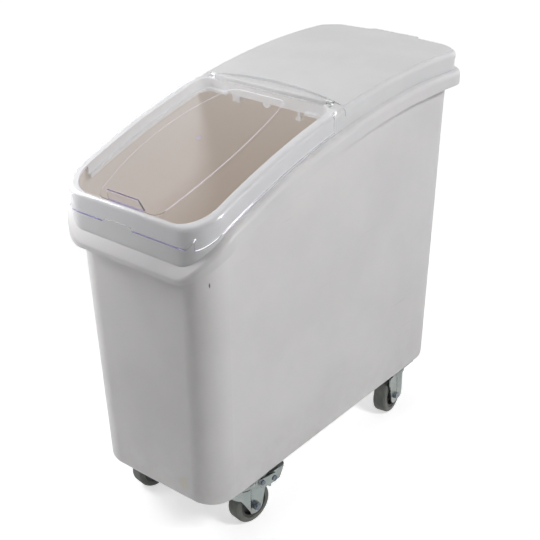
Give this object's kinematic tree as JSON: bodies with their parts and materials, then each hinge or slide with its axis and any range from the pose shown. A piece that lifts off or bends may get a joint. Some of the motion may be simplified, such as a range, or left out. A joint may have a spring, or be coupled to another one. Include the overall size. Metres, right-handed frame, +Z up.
{
  "type": "rolling ingredient bin",
  "caption": "Slant-top white ingredient bin on swivel casters, with a lift-off lid whose clear front flap hinges up for scooping.",
  "frame": {"origin": "on the floor, under the middle of the rim's outline", "axes": "+Z up, -Y towards the low front end with the clear flap, +X to the right seen from the front of the bin looking along +Y"},
  "size_m": [0.334, 0.736, 0.7376],
  "materials": {
    "white_polyethylene": "satin moulded, faintly rippled",
    "clear_polycarbonate": "clear, faint violet at cut edges",
    "zinc_steel": "bright zinc plate",
    "bearing_steel": "polished",
    "black_plastic": "moulded",
    "grey_rubber": "matt, lightly scuffed"
  },
  "bodies": {
    "bin": {"bin_body": "white_polyethylene", "plate_bolts": "zinc_steel", "plate_nuts": "zinc_steel", "caster_plate_front_left": "zinc_steel", "kingpin_front_left": "zinc_steel", "caster_plate_front_right": "zinc_steel", "kingpin_front_right": "zinc_steel", "caster_plate_rear_left": "zinc_steel", "kingpin_rear_left": "zinc_steel", "caster_plate_rear_right": "zinc_steel", "kingpin_rear_right": "zinc_steel"},
    "white_lid": {"main_lid": "white_polyethylene", "hinge_pin_left": "zinc_steel", "hinge_pin_right": "zinc_steel"},
    "clear_flap": {"front_lid": "clear_polycarbonate"},
    "swivel_front_left": {"yoke_front_left": "zinc_steel", "bearing_balls_front_left": "bearing_steel", "axle_bolt_front_left": "zinc_steel", "axle_nut_front_left": "zinc_steel", "axle_sleeve_front_left": "zinc_steel"},
    "wheel_front_left": {"wheel_core_front_left": "black_plastic", "tyre_front_left": "grey_rubber"},
    "swivel_front_right": {"yoke_front_right": "zinc_steel", "bearing_balls_front_right": "bearing_steel", "axle_bolt_front_right": "zinc_steel", "axle_nut_front_right": "zinc_steel", "axle_sleeve_front_right": "zinc_steel", "brake_bracket_front_right": "zinc_steel", "brake_rivets_front_right": "zinc_steel", "brake_pin_front_right": "zinc_steel"},
    "wheel_front_right": {"wheel_core_front_right": "black_plastic", "tyre_front_right": "grey_rubber"},
    "brake_front_right": {"brake_pedal_front_right": "zinc_steel"},
    "swivel_rear_left": {"yoke_rear_left": "zinc_steel", "bearing_balls_rear_left": "bearing_steel", "axle_bolt_rear_left": "zinc_steel", "axle_nut_rear_left": "zinc_steel", "axle_sleeve_rear_left": "zinc_steel", "brake_bracket_rear_left": "zinc_steel", "brake_rivets_rear_left": "zinc_steel", "brake_pin_rear_left": "zinc_steel"},
    "wheel_rear_left": {"wheel_core_rear_left": "black_plastic", "tyre_rear_left": "grey_rubber"},
    "brake_rear_left": {"brake_pedal_rear_left": "zinc_steel"},
    "swivel_rear_right": {"yoke_rear_right": "zinc_steel", "bearing_balls_rear_right": "bearing_steel", "axle_bolt_rear_right": "zinc_steel", "axle_nut_rear_right": "zinc_steel", "axle_sleeve_rear_right": "zinc_steel"},
    "wheel_rear_right": {"wheel_core_rear_right": "black_plastic", "tyre_rear_right": "grey_rubber"}
  },
  "joints": [
    {"name": "main_lid_lift", "type": "slide", "parent": "bin", "child": "white_lid", "axis": [0, 0, 1], "range_m": [0, 0.12]},
    {"name": "front_lid_hinge", "type": "hinge", "parent": "white_lid", "child": "clear_flap", "pos_m": [0, -0.015, 0.72088], "axis": [-1, 0, 0], "range_deg": [0, 110]},
    {"name": "swivel_front_left", "type": "hinge", "parent": "bin", "child": "swivel_front_left", "pos_m": [-0.1, -0.23, 0.09], "axis": [0, 0, 1], "continuous": true},
    {"name": "wheel_spin_front_left", "type": "hinge", "parent": "swivel_front_left", "child": "wheel_front_left", "pos_m": [-0.1025, -0.2458, 0.038], "axis": [-0.9877, 0.1564, 0], "continuous": true},
    {"name": "swivel_front_right", "type": "hinge", "parent": "bin", "child": "swivel_front_right", "pos_m": [0.1, -0.23, 0.09], "axis": [0, 0, 1], "continuous": true},
    {"name": "wheel_spin_front_right", "type": "hinge", "parent": "swivel_front_right", "child": "wheel_front_right", "pos_m": [0.10223, -0.21416, 0.038], "axis": [0.9903, -0.1392, 0], "continuous": true},
    {"name": "brake_front_right", "type": "hinge", "parent": "swivel_front_right", "child": "brake_front_right", "pos_m": [0.10835, -0.17058, 0.074], "axis": [-0.9903, 0.1392, 0], "range_deg": [0, 12]},
    {"name": "swivel_rear_left", "type": "hinge", "parent": "bin", "child": "swivel_rear_left", "pos_m": [-0.1, 0.236, 0.09], "axis": [0, 0, 1], "continuous": true},
    {"name": "wheel_spin_rear_left", "type": "hinge", "parent": "swivel_rear_left", "child": "wheel_rear_left", "pos_m": [-0.09453, 0.25104, 0.038], "axis": [0.9397, -0.342, 0], "continuous": true},
    {"name": "brake_rear_left", "type": "hinge", "parent": "swivel_rear_left", "child": "brake_rear_left", "pos_m": [-0.07948, 0.29238, 0.074], "axis": [-0.9397, 0.342, 0], "range_deg": [0, 12]},
    {"name": "swivel_rear_right", "type": "hinge", "parent": "bin", "child": "swivel_rear_right", "pos_m": [0.1, 0.236, 0.09], "axis": [0, 0, 1], "continuous": true},
    {"name": "wheel_spin_rear_right", "type": "hinge", "parent": "swivel_rear_right", "child": "wheel_rear_right", "pos_m": [0.10223, 0.22016, 0.038], "axis": [-0.9903, -0.1392, 0], "continuous": true}
  ]
}
